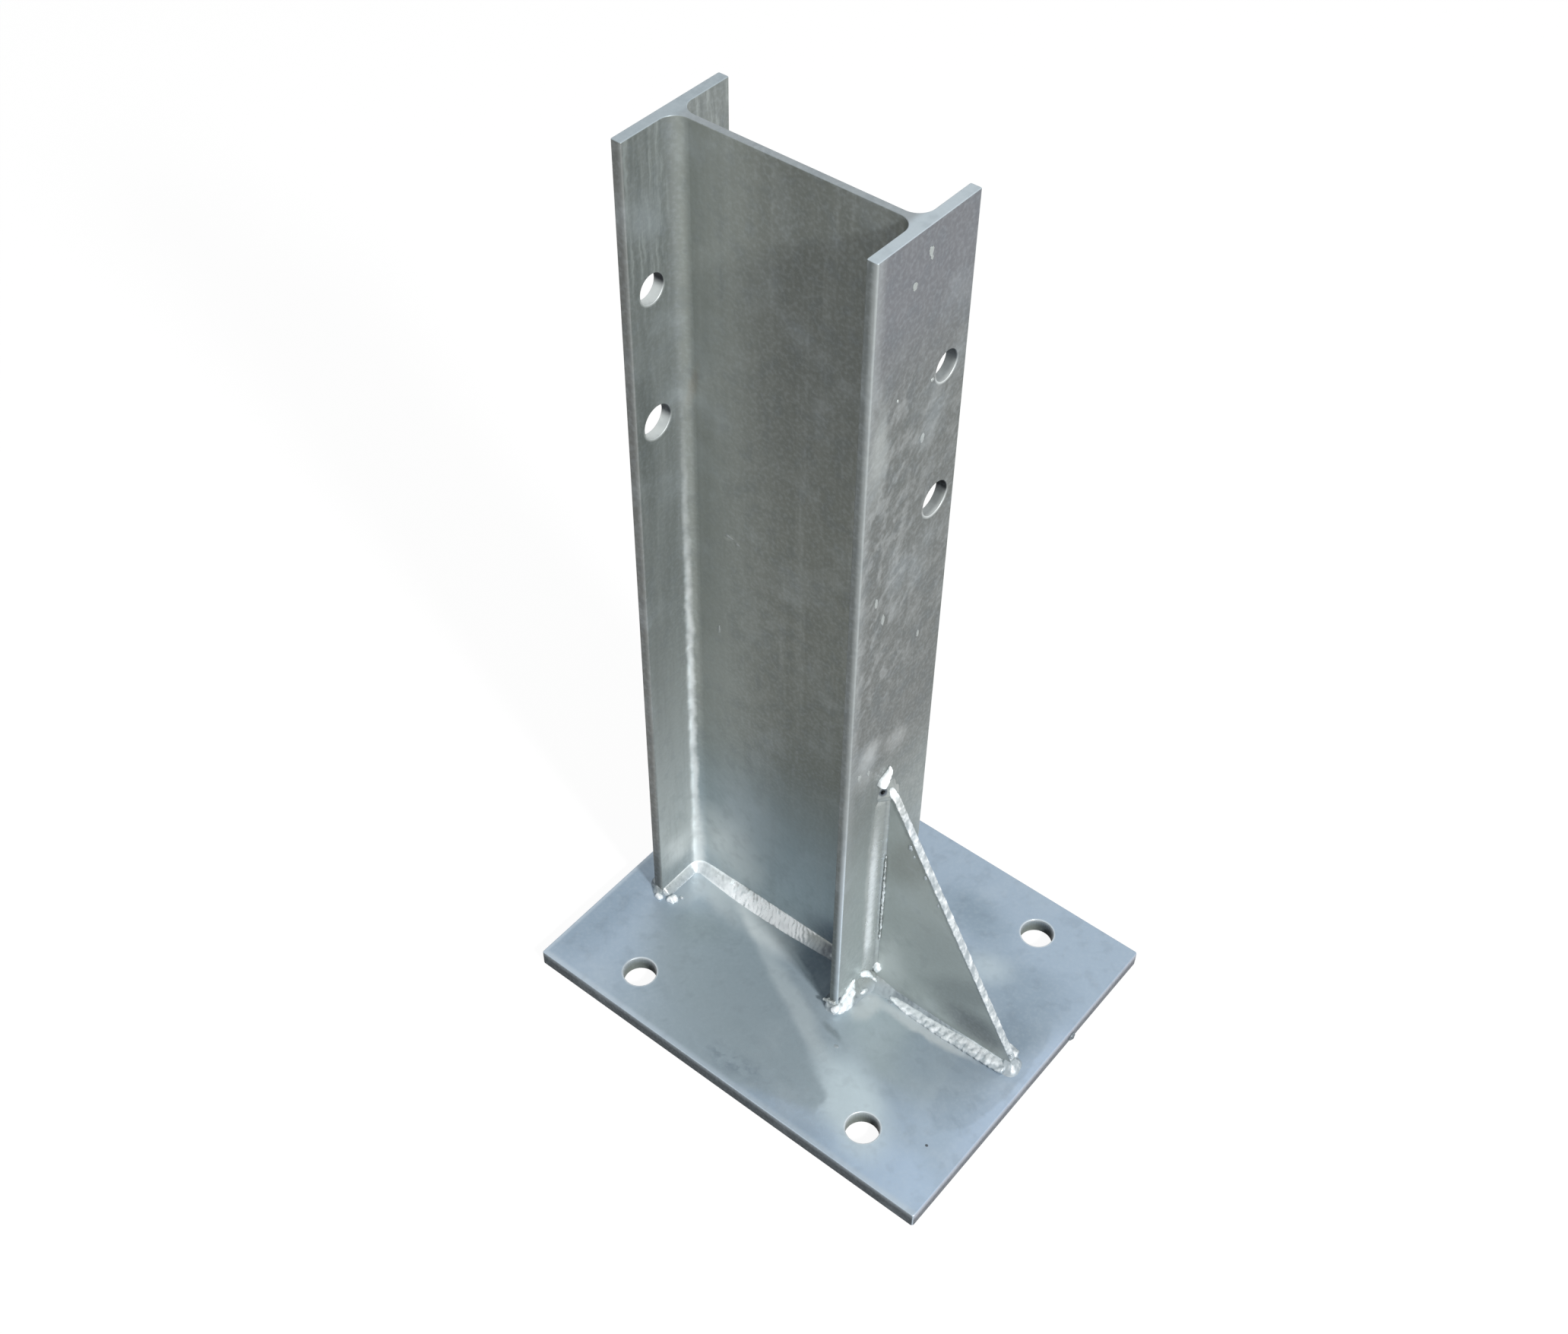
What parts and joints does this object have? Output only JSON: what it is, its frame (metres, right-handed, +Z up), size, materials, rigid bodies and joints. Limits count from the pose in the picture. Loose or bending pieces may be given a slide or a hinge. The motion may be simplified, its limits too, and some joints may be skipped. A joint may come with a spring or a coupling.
{
  "type": "welded h section post on a base plate",
  "caption": "Upright rolled H section welded to a drilled rectangular base plate, with a triangular gusset on one flange and bolt holes near the top.",
  "frame": {"origin": "centre of the base plate's underside", "axes": "+Z up along the post, +X along the plate's long side from the flange without a stiffener to the flange with the gusset, +Y across the plate along the flanges"},
  "size_m": [0.39, 0.32, 0.745],
  "materials": {
    "plate_zinc": "hot-dip galvanised steel plate, dull cloudy zinc",
    "section_zinc": "hot-dip galvanised rolled section, dull mottled zinc",
    "gusset_zinc": "hot-dip galvanised steel plate, dull zinc",
    "weld_zinc": "galvanised fillet weld, rippled and slightly brighter than the plate"
  },
  "bodies": {
    "root": {"base_plate": "plate_zinc", "h_post": "section_zinc", "gusset": "gusset_zinc", "near_channel_weld": "weld_zinc", "far_channel_weld": "weld_zinc", "plain_flange_weld": "weld_zinc", "near_flange_weld": "weld_zinc", "far_flange_weld": "weld_zinc", "near_gusset_foot_weld": "weld_zinc", "far_gusset_foot_weld": "weld_zinc", "gusset_toe_weld": "weld_zinc", "near_gusset_upright_weld": "weld_zinc", "far_gusset_upright_weld": "weld_zinc", "gusset_top_weld": "weld_zinc"}
  },
  "joints": []
}
